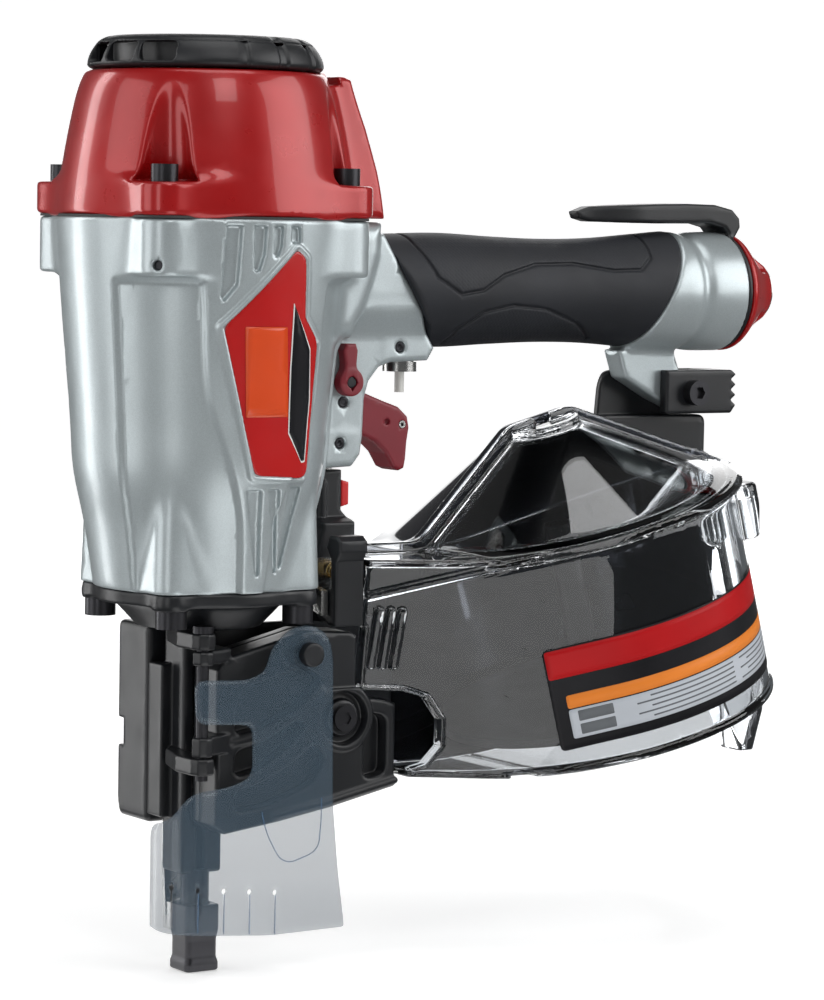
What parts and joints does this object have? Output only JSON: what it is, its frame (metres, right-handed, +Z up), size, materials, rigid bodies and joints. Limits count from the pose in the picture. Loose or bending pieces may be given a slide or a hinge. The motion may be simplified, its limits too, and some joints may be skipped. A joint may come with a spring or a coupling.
{
  "type": "coil nailer",
  "caption": "Pneumatic coil nailer: upright barrel with driver, slanted drum magazine with a clear door, hinged feed door, trigger and handle.",
  "frame": {"origin": "centre of the contact foot's tip, on the driver's axis", "axes": "+Z up the driver's axis towards the cap, +X towards the air inlet, -Y the side that opens"},
  "size_m": [0.2754, 0.124, 0.302],
  "materials": {
    "silver": "fine metallic flake paint",
    "red": "gloss painted casting",
    "black_plastic": "satin moulded",
    "black_cast": "satin coated casting",
    "black_alloy": "satin coated alloy casting",
    "dark_red_plastic": "moulded",
    "black_steel": "black oxide",
    "bright_steel": "zinc plated",
    "ground_steel": "ground",
    "aluminium": "machined",
    "rubber": "moulded with raised dots",
    "bumper_rubber": "matt",
    "clear": "clear moulded plastic",
    "film": "clear flexible film",
    "badge": "printed label in a raised frame",
    "red_plastic": "moulded",
    "spring_steel": "spring wire",
    "brass_wire": "plated spring wire"
  },
  "bodies": {
    "housing": {"main_housing": "silver", "side_badge_left": "badge", "side_badge_right": "badge", "cap_gasket": "bumper_rubber", "top_cap": "red", "cap_screws": "black_steel", "exhaust_bolt": "black_steel", "piston_stop": "bumper_rubber", "head_valve_spring": "spring_steel", "cylinder": "aluminium", "cylinder_guide_ring": "aluminium", "cylinder_foot_ring": "bumper_rubber", "bumper": "bumper_rubber", "nose_body": "black_cast", "nose_screws": "black_steel", "contact_spring": "spring_steel", "arm_guide": "black_plastic", "arm_guide_clip": "red_plastic", "feeder_housing": "black_alloy", "feed_spring": "spring_steel", "door_hinge_pin": "bright_steel", "latch_pin": "bright_steel", "latch_bracket": "bright_steel", "latch_spring": "brass_wire", "trigger_pin": "bright_steel", "trigger_valve_housing": "bright_steel", "trigger_valve_spring": "spring_steel", "handle_grip": "rubber", "end_cap": "red", "end_cap_screws": "black_steel", "air_inlet_bushing": "bright_steel", "inlet_filter": "bright_steel", "magazine_housing": "black_plastic", "magazine_hinge_pin": "bright_steel", "magazine_post": "black_plastic", "magazine_bracket": "black_alloy", "bracket_bolt": "black_steel"},
    "exhaust_cover": {"exhaust_cover": "black_plastic"},
    "driver": {"piston": "aluminium", "piston_seal": "bumper_rubber", "driver_blade": "ground_steel"},
    "head_valve": {"head_valve": "aluminium"},
    "trigger": {"trigger": "dark_red_plastic", "contact_lever_pin": "bright_steel"},
    "contact_lever": {"contact_lever": "bright_steel"},
    "valve_stem": {"trigger_valve_stem": "ground_steel"},
    "lock_dial": {"lock_dial": "dark_red_plastic"},
    "contact_arm": {"contact_foot": "black_steel", "contact_arm": "bright_steel"},
    "feed_door": {"feed_door": "black_alloy", "door_screw": "black_steel", "deflector_film": "film", "deflector_knob": "black_plastic"},
    "door_latch": {"door_latch": "black_cast"},
    "feed_piston": {"feed_piston": "aluminium", "pawl_pin": "ground_steel"},
    "feed_pawl": {"feed_pawl": "ground_steel"},
    "magazine_cover": {"magazine_cover": "clear"},
    "nail_platform": {"nail_platform": "black_plastic"},
    "belt_hook": {"belt_hook": "black_plastic"}
  },
  "joints": [
    {"name": "exhaust_swivel", "type": "hinge", "parent": "housing", "child": "exhaust_cover", "pos_m": [0, 0, 0.296], "axis": [0, 0, 1], "continuous": true},
    {"name": "driver_slide", "type": "slide", "parent": "housing", "child": "driver", "axis": [0, 0, -1], "range_m": [0, 0.108]},
    {"name": "head_valve_slide", "type": "slide", "parent": "housing", "child": "head_valve", "axis": [0, 0, 1], "range_m": [0, 0.003], "stiffness_N_per_m": 2500, "springref_m": -0.004, "deforming": ["head_valve_spring"]},
    {"name": "trigger_pivot", "type": "hinge", "parent": "housing", "child": "trigger", "pos_m": [0.0474, 0, 0.1849], "axis": [0, -1, 0], "range_deg": [0, 20], "stiffness_Nm_per_rad": 0.6, "springref_deg": -17.19},
    {"name": "contact_lever_pivot", "type": "hinge", "parent": "trigger", "child": "contact_lever", "pos_m": [0.0737, 0, 0.177], "axis": [0, 1, 0], "range_deg": [0, 25]},
    {"name": "valve_stem_slide", "type": "slide", "parent": "housing", "child": "valve_stem", "axis": [0, 0, 1], "range_m": [0, 0.0026], "deforming": ["trigger_valve_spring"]},
    {"name": "lock_dial_turn", "type": "hinge", "parent": "housing", "child": "lock_dial", "pos_m": [0.0476, 0, 0.1916], "axis": [0, 1, 0], "range_deg": [0, 180]},
    {"name": "contact_arm_slide", "type": "slide", "parent": "housing", "child": "contact_arm", "axis": [0, 0, 1], "range_m": [0, 0.009], "stiffness_N_per_m": 600, "springref_m": -0.01, "deforming": ["contact_spring"]},
    {"name": "feed_door_hinge", "type": "hinge", "parent": "housing", "child": "feed_door", "pos_m": [-0.012, -0.024, 0.09], "axis": [0, 0, -1], "range_deg": [0, 95]},
    {"name": "door_latch_pivot", "type": "hinge", "parent": "housing", "child": "door_latch", "pos_m": [0.044, -0.014, 0.12], "axis": [-1, 0, 0], "range_deg": [0, 12], "stiffness_Nm_per_rad": 0.3, "springref_deg": -17.19, "deforming": ["latch_spring"]},
    {"name": "feed_piston_slide", "type": "slide", "parent": "housing", "child": "feed_piston", "axis": [1, 0, 0], "range_m": [0, 0.008], "stiffness_N_per_m": 900, "springref_m": -0.006, "deforming": ["feed_spring"]},
    {"name": "feed_pawl_pivot", "type": "hinge", "parent": "feed_piston", "child": "feed_pawl", "pos_m": [0.043, 0.0185, 0.076], "axis": [0, 0, -1], "range_deg": [0, 20], "stiffness_Nm_per_rad": 0.1, "springref_deg": -17.19},
    {"name": "magazine_cover_hinge", "type": "hinge", "parent": "housing", "child": "magazine_cover", "pos_m": [0.2062, -0.0045, 0.16417], "axis": [-0.2588, 0, 0.9659], "range_deg": [0, 95]},
    {"name": "nail_platform_slide", "type": "slide", "parent": "housing", "child": "nail_platform", "axis": [-0.2588, 0, 0.9659], "range_m": [0, 0.024]},
    {"name": "belt_hook_turn", "type": "hinge", "parent": "housing", "child": "belt_hook", "pos_m": [0.2073, 0, 0.2215], "axis": [1, 0, 0], "range_deg": [-90, 90]}
  ],
  "couplings": [
    {"joint": "contact_lever_pivot", "follows": "contact_arm_slide", "rad_per_m": 45},
    {"joint": "valve_stem_slide", "follows": "trigger_pivot", "m_per_rad": 0.00716}
  ]
}
